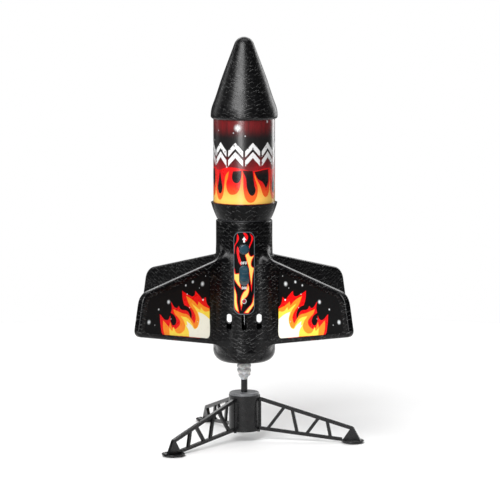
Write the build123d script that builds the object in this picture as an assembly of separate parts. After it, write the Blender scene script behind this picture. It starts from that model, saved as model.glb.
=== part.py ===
from build123d import *
from math import cos, hypot, radians, sin
import os

# A self-launching foam rocket standing on a plug-together tripod launch stand.
# Millimetres, +Z up. The origin is on the ground, on the launch axis, and the
# control panel faces -Y. Compass angles run from -Y (front) towards +X.

os.makedirs("parts", exist_ok=True)

# ---- driving dimensions ----------------------------------------------------
# Launch stand
HUB_R = 14.65
HUB_Z = (9.6, 44.0)
CAP_R = 14.2
CAP_TOP = 46.5
POST_R = 3.1
GUIDE_R = 2.6
GUIDE_TOP = 104.0
SEAL_Z = (58.5, 76.4)
LEG_ANGLES = {"left": -39.0, "right": 81.0, "rear": 201.0}
BEAD_RING = 13.8          # bead centre from the launch axis
BEAD_R = 1.5
BEAD_GAP = 0.2
RAIL_T = 3.0              # across the leg
LATTICE_T = 2.4
PAD_RING = 104.25
PAD_R = 10.75
PAD_T = 1.6

# Fuselage, foam, in two halves
TAIL_Z = 76.5
FUSE_TOP = 211.8
NECK_R = 26.7             # straight part, above the fins
SHOULDER_Z = 190.0
BILGE_R = 29.45           # widest, where the bowl starts
BILGE_Z = 88.0
CAVITY_R = 21.5
CAVITY_Z = (104.0, 204.0)
FIN_T = 7.5
FIN_ROUND = 2.6
ROOT_BLEND = 18.0
FIN_ANGLES = {"front_left": -45.0, "front_right": 45.0, "rear_right": 135.0, "rear_left": 225.0}
DECAL_DEPTH = 1.0
FILM = 0.25
SLOT = (4.9, 15.8)
SLOT_Z = 117.25
SLOT_SPREAD = 14.2

# Control panel
PANEL_W, PANEL_H, PANEL_CORNER = 19.8, 78.0, 6.5
PANEL_Z = 164.0
PANEL_LIP = 0.7           # stands proud of the foam
BUTTON_R, BUTTON_Z, BUTTON_TRAVEL = 4.4, 186.5, 1.2
WELL_W, WELL_H, WELL_Z = 8.9, 18.9, 162.0
KNOB_W, KNOB_H, KNOB_TRAVEL = 8.3, 15.3, 3.0
LED_R, LED_Z = 1.6, 137.5

# Air system, all on the launch axis except the pump
TUBE_R, TUBE_BORE = 4.5, 3.5
BOTTLE_R, BOTTLE_WALL = 28.3, 0.8
BOTTLE_NECK_R = 10.5
BOTTLE_Z = (199.0, 286.0)
SIDE_X = 12.9             # battery on -X, motor and pump on +X
BATTERY_R, BATTERY_LEN = 7.1, 50.0
MOTOR_R = 7.75
PLATE_R = 21.2
LOWER_PLATE_Z = (126.5, 129.0)
UPPER_PLATE_Z = (197.0, 199.5)
POST_X, POST_Y = (-9.5, 9.5), 16.5      # spacers between the chassis plates
BOARD_Y = (-14.6, -13.2)

# Top end
COLLAR_Z = (213.2, 228.5)
LABEL_R, LABEL_T = 29.1, 0.7
BAY_FLOOR = 287.0
NOSE_BASE = 307.5
NOSE_TIP = 384.5
NOSE_R = 31.6
NOSE_TIP_R = 9.7
SOCKET_R, SOCKET_T = 26.6, 1.8
SOCKET_Z = (297.0, 314.0)


# ---- shared shapes ---------------------------------------------------------
def disc(radius, z0, z1, x=0.0, y=0.0):
    upright = (Align.CENTER, Align.CENTER, Align.MIN)
    return Pos(x, y, z0) * Cylinder(radius, z1 - z0, align=upright)


def ring(outer, inner, z0, z1, x=0.0, y=0.0):
    return disc(outer, z0, z1, x, y) - disc(inner, z0 - 1, z1 + 1, x, y)


def block(x0, x1, y0, y1, z0, z1):
    centre = Pos((x0 + x1) / 2, (y0 + y1) / 2, (z0 + z1) / 2)
    return centre * Box(x1 - x0, y1 - y0, z1 - z0)


def turned(*edges):
    """A solid of revolution from a closed (radius, height) outline."""
    return revolve(Plane.XZ * make_face(Curve() + list(edges)), Axis.Z)


def turned_polygon(*points, radius=0.0):
    return turned(FilletPolyline(*points, radius=radius, close=True))


def to_front(sketch, y_back, y_front):
    """A sketch drawn in (x, z), extruded between two depths along Y."""
    return extrude(Plane.XZ.offset(-y_back) * sketch, y_back - y_front)


def compass(angle):
    """Turns a shape drawn along +X to a compass angle."""
    return Rot(0, 0, angle - 90.0)


def rod_to_front(radius, z, y_back, y_front):
    return to_front(Pos(0, z) * Circle(radius), y_back, y_front)


# ---- launch stand ----------------------------------------------------------
def hub_body():
    drum = disc(HUB_R, *HUB_Z)
    drum -= disc(9.5, 12.4, HUB_Z[1] + 1)
    drum += disc(5.0, HUB_Z[0], 36.0)
    drum -= disc(1.6, HUB_Z[0] - 1, 37.0) + disc(3.0, HUB_Z[0] - 1, 12.2)
    for angle in LEG_ANGLES.values():
        drum -= compass(angle) * disc(BEAD_R + BEAD_GAP, HUB_Z[0] - 1, HUB_Z[1] + 1, BEAD_RING)
    return drum


def hub_cap():
    outline = ((POST_R, HUB_Z[1]), (CAP_R, HUB_Z[1]), (CAP_R, CAP_TOP), (POST_R, CAP_TOP))
    return turned_polygon(*outline, radius=(0, 0, 1.3, 0)) + ring(9.3, 7.2, 38.6, HUB_Z[1] + 0.1)


def launch_post():
    post = disc(6.0, 36.0, 38.5) + disc(POST_R, 38.0, SEAL_Z[0])
    post += disc(GUIDE_R, SEAL_Z[0] - 1, GUIDE_TOP - 2) + Pos(0, 0, GUIDE_TOP - 2) * Cone(
        GUIDE_R, GUIDE_R - 1.0, 2.0, align=(Align.CENTER, Align.CENTER, Align.MIN)
    )
    return post - disc(1.5, 35.0, 44.0)


def post_screw():
    return disc(2.8, 10.0, 12.2) + disc(1.5, 12.0, 43.8)


def post_seal():
    """A soft ribbed plug: three bulges, the widest low down."""
    z0, z1 = SEAL_Z
    bulges = Spline((4.4, z0), (7.0, z0 + 4.2), (6.5, z0 + 6.8), (7.15, z0 + 9.2), (6.2, z0 + 11.8),
                    (6.6, z0 + 14.0), (5.0, z1 - 0.4))
    lip = Polyline(bulges @ 1, (5.0, z1), (GUIDE_R, z1), (GUIDE_R, z0), bulges @ 0)
    return turned(bulges, lip)


def bar(x0, z0, x1, z1, width):
    """A straight lattice bar as a face in the plane of the leg."""
    run = Vector(x1 - x0, z1 - z0)
    side = run.normalized().rotate(Axis.Z, 90) * (width / 2)
    a, b = Vector(x0, z0), Vector(x1, z1)
    return make_face(Polyline(a + side, a - side, b - side, b + side, close=True))


def leg():
    """One flat lattice leg along +X with its plug-in bead, rails, four ties and foot gusset."""
    upper = (14.9, 40.2, 104.0, 14.0)
    lower = (14.9, 11.8, 94.2, 3.14)
    ties = ((22.6, 11.2, 38.8, 32.8), (46.3, 30.4, 51.2, 8.0), (59.8, 7.0, 71.6, 23.0), (79.8, 20.9, 83.2, 4.6))
    rails = bar(*upper, 3.2) + bar(*lower, 3.0)
    lattice = rails
    for tie in ties:
        lattice += bar(*tie, 3.0)
    gusset = make_face(Polyline((93.8, PAD_T), (103.2, 15.4), (105.2, 15.0), (112.6, PAD_T), close=True))
    frame = extrude(Plane.XZ * (rails + gusset), RAIL_T / 2, both=True)
    frame += extrude(Plane.XZ * lattice, LATTICE_T / 2, both=True)
    bead = disc(BEAD_R, 8.4, HUB_Z[1] - 0.1, BEAD_RING)
    web = block(BEAD_RING, 16.4, -0.8, 0.8, 10.3, 41.6)
    return frame + bead + web


def foot_pad():
    """A thin round dish with its rim curled up, bottom on the ground."""
    pts = ((0, 0), (8.2, 0), (PAD_R, 1.7), (PAD_R, 2.9), (9.6, 2.6), (7.9, PAD_T), (0, PAD_T))
    dish = turned_polygon(*pts, radius=(0, 2.0, 0.4, 0.4, 0.8, 1.2, 0))
    return Pos(PAD_RING, 0, 0) * dish - block(90, 120, -1.7, 1.7, PAD_T, 6)


# ---- fuselage --------------------------------------------------------------
def body_radius(z):
    """Outer radius of the foam body above its bowl."""
    slope = (BILGE_R - NECK_R) / (SHOULDER_Z - BILGE_Z)
    return NECK_R + max(0.0, SHOULDER_Z - z) * slope


def body_shell(inner, outer, z0, z1):
    """A band that follows the body surface, between two offsets from it."""
    heights = (z0, SHOULDER_Z, z1)
    outside = [(body_radius(z) + outer, z) for z in heights]
    inside = [(body_radius(z) + inner, z) for z in reversed(heights)]
    return turned(Polyline(*outside, *inside, close=True))


def fin_outline():
    """The blade in (distance from axis, height); its root is buried in the body wall."""
    corners = ((12.0, 182.1), (133.3, 153.4), (140.9, 114.7), (12.0, 91.7))
    return make_face(FilletPolyline(*corners, radius=(0, 15, 6, 0), close=True))


def decal_outline(inset=0.0):
    """The printed area of a fin, inside its rolled border."""
    i = inset
    corners = ((48.5 + i, 102.8 + i), (133.3 - i, 117.9 + i), (127.0 - i, 149.0 - i), (48.5 + i, 167.4 - i))
    return make_face(FilletPolyline(*corners, radius=(4.5, 4, 9, 5), close=True))


def decal_side(angle):
    """Which face of a fin is printed: the one that looks away from the body's split plane."""
    return 1 if angle in (FIN_ANGLES["front_left"], FIN_ANGLES["rear_right"]) else -1


def fin_blade():
    blade = extrude(Plane.XZ * fin_outline(), FIN_T / 2, both=True)
    rim = [e for e in blade.edges() if abs(e.center().Y) > FIN_T / 2 - 0.01 and e.center().X > 13.0]
    return fillet(rim, FIN_ROUND)


def decal_pocket(angle):
    side = decal_side(angle)
    face = side * FIN_T / 2
    return compass(angle) * extrude(Plane.XZ.offset(-face) * decal_outline(), DECAL_DEPTH * side)


def is_root_edge(edge):
    """The curves where a blade's faces and rounded rim meet the round body."""
    for share in (0.0, 0.5, 1.0):
        place = edge.position_at(share)
        off_wall = abs(hypot(place.X, place.Y) - body_radius(place.Z))
        if off_wall > 0.2 or not BILGE_Z < place.Z < SHOULDER_Z:
            return False
    return True


def finned_body():
    """The body of revolution with four blades, moulded into it by wide hollow blends."""
    side = ((0, TAIL_Z), (BILGE_R + 0.05, TAIL_Z), (BILGE_R, BILGE_Z), (NECK_R, SHOULDER_Z),
            (NECK_R, FUSE_TOP), (0, FUSE_TOP))
    body = turned_polygon(*side, radius=(0, 11, 0, 0, 1.2, 0))
    for angle in FIN_ANGLES.values():
        body += compass(angle) * fin_blade()
    return fillet([e for e in body.edges() if is_root_edge(e)], ROOT_BLEND)


def fin_decal(angle):
    side = decal_side(angle)
    floor = side * (FIN_T / 2 - DECAL_DEPTH)
    film = extrude(Plane.XZ.offset(-floor) * decal_outline(0.15), -FILM * side)
    return compass(angle) * film


def panel_prism(shrink, y_back=-15.0, y_front=-35.0):
    size = RectangleRounded(PANEL_W - 2 * shrink, PANEL_H - 2 * shrink, PANEL_CORNER - shrink)
    return to_front(Pos(0, PANEL_Z) * size, y_back, y_front)


def slots():
    """Three upright vents in front and three behind, in line, so that one can look straight through."""
    width, height = SLOT
    group = Part()
    for x in (-SLOT_SPREAD, 0.0, SLOT_SPREAD):
        cutter = Pos(x, SLOT_Z) * SlotOverall(height, width, rotation=90)
        group += to_front(cutter, -10.0, -40.0) + to_front(cutter, 40.0, 10.0)
    return group


def port_opening(gap=0.0):
    return block(-6.0 - gap, 6.0 + gap, 20.0, 35.0, 146.5 - gap, 153.5 + gap)


def fuselage():
    body = finned_body()
    for angle in FIN_ANGLES.values():
        body -= decal_pocket(angle)
    body -= disc(CAVITY_R, *CAVITY_Z)
    body -= disc(12.6, CAVITY_Z[1] - 1, FUSE_TOP + 1)
    body -= disc(6.0, TAIL_Z - 1, CAVITY_Z[0] + 1) + disc(9.5, TAIL_Z - 1, TAIL_Z + 1.8)
    return body - panel_prism(0.0) - slots() - port_opening()


def half(shape, front):
    y0, y1 = (-200, 0) if front else (0, 200)
    return shape & block(-200, 200, y0, y1, 0, 400)


# ---- control panel ---------------------------------------------------------
def panel_holes(gap=0.0):
    """Everything that passes through the panel front."""
    holes = rod_to_front(BUTTON_R + 0.4 + gap, BUTTON_Z, -15, -35)
    holes += rod_to_front(LED_R + gap, LED_Z, -15, -35)
    well = Pos(0, WELL_Z) * SlotOverall(WELL_H + 2 * gap, WELL_W + 2 * gap, rotation=90)
    return holes + to_front(well, -25.0, -35)


def control_panel():
    z0, z1 = PANEL_Z - PANEL_H, PANEL_Z + PANEL_H
    face = panel_prism(0.0) & body_shell(-1.8, PANEL_LIP, z0, z1)
    skirt = panel_prism(0.0, -21.4, -25.0) - panel_prism(1.2, -20.0, -27.0)
    face -= panel_prism(0.6) & body_shell(PANEL_LIP - 0.35, PANEL_LIP + 3, z0, z1)
    tray = to_front(Pos(0, WELL_Z) * SlotOverall(WELL_H + 2.4, WELL_W + 2.4, rotation=90), -23.8, -27.0)
    stem_way = block(-1.8, 1.8, -28, -22, WELL_Z - KNOB_TRAVEL - 0.4, WELL_Z + 4.0)
    return face + skirt + tray - panel_holes() - stem_way


def panel_decal():
    film = panel_prism(0.7) & body_shell(PANEL_LIP - 0.35, PANEL_LIP - 0.1, 120, 210)
    return film - panel_holes(0.25)


def launch_button():
    face = body_radius(BUTTON_Z) + PANEL_LIP + 1.1
    cap = rod_to_front(BUTTON_R, BUTTON_Z, -24.0, -face)
    cap = fillet(cap.edges().sort_by(Axis.Y)[0], 1.0)
    return cap + rod_to_front(5.4, BUTTON_Z, -23.0, -24.2) + rod_to_front(1.8, BUTTON_Z, -18.9, -23.2)


def switch_knob():
    """At rest it is up, in the off position."""
    z = WELL_Z + (WELL_H - KNOB_H) / 2 - 0.3
    plate = to_front(Pos(0, z) * SlotOverall(KNOB_H, KNOB_W, rotation=90), -25.2, -28.2)
    plate = fillet(plate.faces().sort_by(Axis.Y)[0].edges(), 0.7)
    for dz in (-4.2, 0.0, 4.2):
        plate += Pos(0, -28.1, z + dz) * Rot(0, 90, 0) * Cylinder(0.7, 4.6)
    return plate + block(-1.3, 1.3, -25.4, -18.5, z - 1.3, z + 1.3)


def led_lens():
    tip = body_radius(LED_Z) + PANEL_LIP + 0.35
    lens = rod_to_front(LED_R - 0.05, LED_Z, -15.0, -tip)
    lens = fillet(lens.edges().sort_by(Axis.Y)[0], 0.8)
    return lens + rod_to_front(2.3, LED_Z, -24.0, -25.2)


def circuit_board():
    board = block(-8.5, 8.5, *BOARD_Y, 130.0, 196.0)
    return board - rod_to_front(1.2, 192.5, -10, -20)


def board_switches():
    """Tact switch behind the button and slide switch behind the knob, on the board."""
    front = BOARD_Y[0]
    tact = block(-3, 3, front - 2.2, front, BUTTON_Z - 3, BUTTON_Z + 3)
    tact += rod_to_front(1.6, BUTTON_Z, front - 2.0, front - 3.0)
    slide = block(-4.2, 4.2, front - 3.4, front, WELL_Z - 6, WELL_Z + 6)
    return {"tact_switch": tact, "slide_switch": slide}


# ---- chassis, battery and pump ---------------------------------------------
def chassis_posts():
    group = Part()
    for x in POST_X:
        group += disc(1.6, LOWER_PLATE_Z[1] - 0.1, UPPER_PLATE_Z[0], x, POST_Y)
    return group


def lower_plate():
    plate = disc(PLATE_R, *LOWER_PLATE_Z) - disc(TUBE_R, 120, 135)
    plate += ring(3.4, 2.2, LOWER_PLATE_Z[1] - 0.1, 134.0, SIDE_X)
    return plate + chassis_posts()


def upper_plate():
    return ring(PLATE_R, 12.6, *UPPER_PLATE_Z)


def chassis_screws():
    group = Part()
    for x in POST_X:
        group += disc(2.4, UPPER_PLATE_Z[1], UPPER_PLATE_Z[1] + 1.6, x, POST_Y)
    return group


def battery_holder():
    """A half tube with two end walls, open towards the launch tube."""
    z0, z1 = LOWER_PLATE_Z[1], 189.0
    tub = disc(8.2, z0, z1, -SIDE_X) - disc(7.2, z0 + 1.4, z1 - 1.4, -SIDE_X)
    return tub - block(-SIDE_X, 10, -15, 15, z0 - 1, z1 + 1)


def battery_cell():
    can = disc(BATTERY_R, 134.0, 134.0 + BATTERY_LEN - 1.0, -SIDE_X)
    return can + disc(2.9, 134.0, 134.0 + BATTERY_LEN, -SIDE_X)


def battery_contacts():
    spring = Pos(-SIDE_X - 0.2, 0, 130.4) * Cone(
        4.6, 2.6, 3.6, align=(Align.CENTER, Align.CENTER, Align.MIN)
    )
    plate = block(-SIDE_X - 5, -SIDE_X - 0.2, -3, 3, 184.0, 187.6)
    return (spring & block(-30, -SIDE_X - 0.1, -10, 10, 120, 140)) + plate


def motor_can():
    return ring(MOTOR_R, 1.1, 134.0, 154.0, SIDE_X)


def motor_rotor():
    """Motor shaft with the eccentric that drives the pump diaphragm."""
    return disc(0.75, 131.0, 161.5, SIDE_X) + disc(3.0, 156.0, 160.0, SIDE_X, 0.8)


def pump_head():
    z0, z1 = 154.0, 172.0
    head = disc(MOTOR_R, z0, z1, SIDE_X) - disc(5.6, z0 + 1.0, 163.0, SIDE_X)
    head -= disc(1.1, z0 - 1, z0 + 2, SIDE_X)
    head -= disc(5.6, 162.9, 165.0, SIDE_X)
    return head + ring(1.5, 0.7, z1 - 0.1, 176.0, SIDE_X)


def pump_diaphragm():
    return disc(5.6, 163.0, 165.0, SIDE_X) + disc(2.4, 162.0, 163.2, SIDE_X)


def air_hose():
    """From the pump outlet up to the check valve."""
    path = FilletPolyline((SIDE_X, 0, 176), (SIDE_X, 0, 182), (8.6, 0, 187), (8.6, 0, 191), radius=5.0)
    section = Plane(origin=path @ 0, z_dir=path % 0) * (Circle(1.75) - Circle(1.0))
    return sweep(section, path)


def bottle_cap():
    cap = disc(12.3, 195.0, 208.0) - disc(BOTTLE_NECK_R, 197.0, 209.0) - disc(TUBE_R, 190, 200)
    return cap - disc(0.9, 190, 200, 8.6)


def check_valve():
    return ring(2.9, 0.9, 191.0, 195.0, 8.6)


# ---- launch tube, bottle and collar ----------------------------------------
def launch_tube():
    return ring(TUBE_R, TUBE_BORE, TAIL_Z + 1.8, 197.0)


def tail_nozzle():
    return ring(9.5, TUBE_BORE + 0.1, TAIL_Z, TAIL_Z + 1.8) + ring(6.0, TUBE_R, TAIL_Z + 1.7, 104.0)


def bottle_form(grow, z0=BOTTLE_Z[0], z1=BOTTLE_Z[1]):
    """The bottle's outer form, grown or shrunk by an even amount."""
    body, neck = BOTTLE_R + grow, BOTTLE_NECK_R + grow
    pts = ((0, z0), (neck, z0), (neck, 216.6 - grow), (body, 222.6 - grow), (body, z1 + grow), (0, z1 + grow))
    return turned_polygon(*pts, radius=(0, 0, 1.5, 5.0, 9.0, 0))


def air_bottle():
    return bottle_form(0.0) - bottle_form(-BOTTLE_WALL, BOTTLE_Z[0] - 1)


def lower_collar():
    z0, z1 = COLLAR_Z
    flare = ThreePointArc((25.7, z0), (28.9, z0 + 7.4), (31.4, z1))
    rest = Polyline(flare @ 1, (0, z1), (0, z0), flare @ 0)
    return turned(flare, rest) - bottle_form(0.1, 200.0)


def neck_ring():
    return ring(24.6, 12.6, FUSE_TOP, COLLAR_Z[0])


def label_sleeve():
    return ring(LABEL_R, LABEL_R - LABEL_T, COLLAR_Z[1], NOSE_BASE)


# ---- parachute and nose ----------------------------------------------------
def parachute_bay():
    cup = disc(BOTTLE_R, BAY_FLOOR, NOSE_BASE - 0.3)
    return cup - disc(BOTTLE_R - 1.2, BAY_FLOOR + 1.5, NOSE_BASE + 1)


def parachute_bundle():
    """The folded canopy with its lines wound round it."""
    pts = ((0, 288.8), (19.0, 288.8), (19.0, 304.5), (0, 304.5))
    return turned_polygon(*pts, radius=(0, 5.0, 6.5, 0))


def nose_form():
    """Blunt tip, long nearly straight flank, slightly swollen towards a rounded base."""
    tip_z = NOSE_TIP - NOSE_TIP_R
    lean = radians(20.5)
    join = (NOSE_TIP_R * cos(lean), tip_z + NOSE_TIP_R * sin(lean))
    middle = radians((90 + 20.5) / 2)
    cap = ThreePointArc((0, NOSE_TIP), (NOSE_TIP_R * cos(middle), tip_z + NOSE_TIP_R * sin(middle)), join)
    flank = Spline(join, (16.4, 358.7), (22.6, 341.5), (28.1, 325.0), (NOSE_R, 311.2),
                   tangents=(cap % 1, (0.03, -1)))
    base = Polyline(flank @ 1, (NOSE_R, NOSE_BASE), (0, NOSE_BASE), (0, NOSE_TIP))
    solid = turned(cap, flank, base)
    return fillet(solid.edges().sort_by(Axis.Z)[0], 2.6)


def nose_cone():
    hollow = turned_polygon((0, 310), (24.0, 310), (24.0, 318), (9.0, 358), (0, 358), radius=(0, 0, 9, 5, 0))
    return nose_form() - hollow - disc(SOCKET_R, NOSE_BASE - 1, SOCKET_Z[1])


def nose_socket():
    return ring(SOCKET_R, SOCKET_R - SOCKET_T, *SOCKET_Z)


# ---- charging port ---------------------------------------------------------
def port_bezel():
    skin = port_opening() & body_shell(-6.0, 0.2, 140, 160)
    return skin - block(-4.6, 4.6, 15, 35, 148.3, 151.7)


def charge_port():
    shell = block(-4.6, 4.6, 21.6, 27.2, 148.3, 151.7)
    return shell - block(-4.0, 4.0, 22.6, 30.0, 148.9, 151.1) + block(-3.2, 3.2, 22.0, 26.0, 149.7, 150.3)


# ---- write every sub-part --------------------------------------------------
def main():
    parts = {
        "hub_body": hub_body(),
        "hub_cap": hub_cap(),
        "launch_post": launch_post(),
        "post_screw": post_screw(),
        "post_seal": post_seal(),
        "control_panel": control_panel(),
        "panel_decal": panel_decal(),
        "launch_button": launch_button(),
        "switch_knob": switch_knob(),
        "led_lens": led_lens(),
        "circuit_board": circuit_board(),
        "lower_chassis_plate": lower_plate(),
        "upper_chassis_plate": upper_plate(),
        "chassis_screws": chassis_screws(),
        "battery_holder": battery_holder(),
        "battery_cell": battery_cell(),
        "battery_contacts": battery_contacts(),
        "motor_can": motor_can(),
        "motor_rotor": motor_rotor(),
        "pump_head": pump_head(),
        "pump_diaphragm": pump_diaphragm(),
        "air_hose": air_hose(),
        "check_valve": check_valve(),
        "bottle_cap": bottle_cap(),
        "launch_tube": launch_tube(),
        "tail_nozzle": tail_nozzle(),
        "air_bottle": air_bottle(),
        "neck_ring": neck_ring(),
        "lower_collar": lower_collar(),
        "label_sleeve": label_sleeve(),
        "parachute_bay": parachute_bay(),
        "parachute_bundle": parachute_bundle(),
        "nose_cone": nose_cone(),
        "nose_socket": nose_socket(),
        "port_bezel": port_bezel(),
        "charge_port": charge_port(),
    }
    parts.update(board_switches())
    for name, angle in LEG_ANGLES.items():
        parts["leg_" + name] = compass(angle) * leg()
        parts["foot_pad_" + name] = compass(angle) * foot_pad()
    body = fuselage()
    parts["fuselage_front"] = half(body, True)
    parts["fuselage_rear"] = half(body, False)
    for name, angle in FIN_ANGLES.items():
        parts["fin_decal_" + name] = fin_decal(angle)
    for name, shape in parts.items():
        export_step(shape, "parts/" + name + ".step")


main()
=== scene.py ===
from math import cos, hypot, pi, radians, sin, sqrt

import bmesh
import bpy
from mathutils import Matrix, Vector, noise


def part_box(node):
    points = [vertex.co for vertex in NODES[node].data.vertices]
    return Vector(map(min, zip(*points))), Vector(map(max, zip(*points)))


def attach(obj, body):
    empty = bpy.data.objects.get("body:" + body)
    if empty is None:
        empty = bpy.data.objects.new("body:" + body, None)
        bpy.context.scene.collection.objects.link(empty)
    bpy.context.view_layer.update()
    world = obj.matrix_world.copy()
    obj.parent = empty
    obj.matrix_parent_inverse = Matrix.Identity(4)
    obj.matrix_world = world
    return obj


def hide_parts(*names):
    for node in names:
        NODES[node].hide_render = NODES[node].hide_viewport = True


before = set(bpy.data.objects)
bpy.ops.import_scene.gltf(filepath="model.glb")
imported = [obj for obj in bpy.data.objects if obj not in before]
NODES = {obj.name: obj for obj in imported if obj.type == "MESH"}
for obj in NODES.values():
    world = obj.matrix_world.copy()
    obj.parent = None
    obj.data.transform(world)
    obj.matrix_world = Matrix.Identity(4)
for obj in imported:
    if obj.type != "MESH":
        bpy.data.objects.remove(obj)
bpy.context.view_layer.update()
MM = 0.001


def box_mm(node):
    """A CAD node's lowest and highest corners, in millimetres, to a thousandth."""
    return [[round(value / MM, 3) for value in corner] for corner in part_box(node)]


def middle_z(node):
    """The height of a CAD node's middle, in millimetres."""
    low, high = box_mm(node)
    return (low[2] + high[2]) / 2


# ---- shape facts, in millimetres ---------------------------------------------
LABEL_R = box_mm("label_sleeve")[1][0]
CELL_Z = middle_z("battery_cell")
BUTTON_Z = middle_z("launch_button")
LAMP_Z = middle_z("led_lens")
FIN_ANGLES = {"front_left": -45.0, "front_right": 45.0, "rear_right": 135.0, "rear_left": 225.0}
FIN_PRINT_SIDE = {"front_left": 1, "front_right": -1, "rear_right": 1, "rear_left": -1}
FIN_FILM = 3.0                    # from a fin's middle plane to its printed face
NECK_R, BILGE_R = 26.7, 29.45     # the fuselage's radius at the shoulder and at the bilge
SHOULDER_Z, BILGE_Z = 190.0, 88.0
PANEL_PROUD = 0.6                 # how far the panel's film stands out from the fuselage
PANEL_HALF = 9.15                 # half the width that the panel's prints may cover
OFF_Z, ON_Z = 173.6, 150.1        # the middles of the two words on the panel
LAYER = 0.04                      # from the bottom of one printed layer to the next
INK_THICK = 0.8 * LAYER           # so that one layer never touches the next
LABEL_STRIP, PANEL_STRIP = 2.5, 1.2    # a wrapped print's facets: in degrees, and in millimetres
CREASE_STEP = 4.0                 # from one row of creases in the foam to the next
LEGS = ("left", "right", "rear")


# ---- node materials ----------------------------------------------------------
def srgb(r, g, b):
    """A colour given as 0-255 screen values, as linear RGBA."""
    linear = [((c / 255 + 0.055) / 1.055) ** 2.4 if c > 10 else c / 255 / 12.92 for c in (r, g, b)]
    return (*linear, 1.0)


def shaded(colour, factor):
    """The same colour, darker."""
    return (*(part * factor for part in colour[:3]), 1.0)


class Graph:
    """Builds one node material. Most methods add a node and return the socket to use next."""

    def __init__(self, name, **shader):
        self.material = bpy.data.materials.new(name)
        self.material.use_nodes = True
        self.tree = self.material.node_tree
        self.shader = self.tree.nodes["Principled BSDF"]
        for key, value in shader.items():
            self.shader.inputs[key.replace("_", " ")].default_value = value
        self.place = self.node("ShaderNodeTexCoord").outputs["Object"]

    def node(self, kind, *inputs, **settings):
        made = self.tree.nodes.new(kind)
        for key, value in settings.items():
            setattr(made, key, value)
        for index, value in enumerate(inputs):
            self.feed(made.inputs[index], value)
        return made

    def feed(self, socket, value):
        if isinstance(value, bpy.types.NodeSocket):
            self.tree.links.new(value, socket)
        elif value is not None:
            socket.default_value = value

    def put(self, key, value):
        self.feed(self.shader.inputs[key], value)

    def math(self, operation, a, b=0.0):
        return self.node("ShaderNodeMath", a, b, operation=operation).outputs[0]

    def vector(self, operation, a, b=None):
        made = self.node("ShaderNodeVectorMath", a, b, operation=operation)
        return made.outputs["Value" if operation in ("LENGTH", "DISTANCE") else "Vector"]

    def split(self, vector):
        return self.node("ShaderNodeSeparateXYZ", vector).outputs

    def join(self, x, y, z):
        return self.node("ShaderNodeCombineXYZ", x, y, z).outputs[0]

    def noise(self, where, scale, detail=3.0, colour=False):
        made = self.node("ShaderNodeTexNoise")
        for key, value in (("Vector", where), ("Scale", scale), ("Detail", detail)):
            self.feed(made.inputs[key], value)
        return made.outputs["Color" if colour else "Fac"]

    def cells(self, where, scale):
        """Scattered cells: how far a point is from the nearest middle."""
        made = self.node("ShaderNodeTexVoronoi", feature="F1")
        self.feed(made.inputs["Vector"], where)
        self.feed(made.inputs["Scale"], scale)
        return made.outputs["Distance"]

    def ramp(self, value, low, high, start=0.0, end=1.0):
        """Goes smoothly from start to end as value goes from low to high."""
        made = self.node("ShaderNodeMapRange", value, low, high, start, end,
                         interpolation_type="SMOOTHSTEP")
        return made.outputs[0]

    def mix(self, factor, a, b):
        made = self.node("ShaderNodeMix", data_type="RGBA")
        self.feed(made.inputs[0], factor)
        self.feed(made.inputs[6], a)
        self.feed(made.inputs[7], b)
        return made.outputs[2]

    def bump(self, height, strength, distance, under=None):
        made = self.node("ShaderNodeBump")
        for key, value in (("Height", height), ("Strength", strength), ("Distance", distance),
                           ("Normal", under)):
            self.feed(made.inputs[key], value)
        return made.outputs["Normal"]


def warped(g, amount, scale):
    """Object coordinates, pushed about by noise so that a regular pattern looks grown."""
    shift = g.vector("SUBTRACT", g.noise(g.place, scale, 2.0, colour=True), (0.5, 0.5, 0.5))
    return g.vector("ADD", g.place, g.vector("MULTIPLY", shift, (amount, amount, amount)))


def foam_material(name, girth, shine=0.21, rough=0.2):
    """Moulded bead foam: near black, with rows of fine creases that waver and break off; the creases are
    painted light grey as a painted highlight, light glinting in their grooves.

    The rows lie on the skin: across by the angle round the axis and the distance out, and up by
    height. girth is the radius, in millimetres, at which a turn becomes a distance."""
    g = Graph(name, Specular_IOR_Level=shine)
    x, y, z = g.split(g.place)[:3]
    turn = g.math("ABSOLUTE", g.math("ARCTAN2", x, g.math("MULTIPLY", y, -1.0)))
    out = g.vector("LENGTH", g.join(x, y, 0.0))
    across = g.math("ADD", g.math("MULTIPLY", turn, girth * MM), out)
    skin = g.join(across, z, 0.0)
    ripple = g.math("MULTIPLY", g.math("SUBTRACT", g.noise(skin, 210.0, 2.0), 0.5), 2.0)
    waves = g.math("MULTIPLY", across, 1050.0)        # radians per metre: a scallop every 6 mm
    scallop = g.math("SINE", g.math("ADD", waves, g.math("MULTIPLY", ripple, 9.0)))
    drift = g.math("ADD", ripple, g.math("MULTIPLY", scallop, 0.2))
    row = g.math("FRACT", g.math("ADD", g.math("MULTIPLY", z, 1.0 / (CREASE_STEP * MM)), drift))
    edge = g.math("ABSOLUTE", g.math("SUBTRACT", row, 0.5))
    patch = g.ramp(g.noise(g.place, 45.0, 2.0), 0.36, 0.6, 0.3, 1.0)
    broken = g.ramp(g.noise(g.place, 190.0, 1.0), 0.4, 0.54, 0.05, 1.0)
    # Painted highlight: the crease lines are painted light grey where light would glint in their grooves.
    painted_crease_glint = g.math("MULTIPLY", g.math("MULTIPLY", g.ramp(edge, 0.06, 0.02), broken), patch)
    g.put("Base Color", g.mix(painted_crease_glint, srgb(5, 5, 6), srgb(86, 86, 86)))
    g.put("Roughness", g.ramp(g.noise(g.place, 160.0, 3.0), 0.3, 0.7, rough, rough + 0.09))
    coarse = g.bump(g.ramp(edge, 0.0, 0.25), 0.2, 0.3 * MM)
    g.put("Normal", g.bump(g.noise(g.place, 900.0, 3.0), 0.06, 0.2 * MM, coarse))
    return g.material


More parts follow.
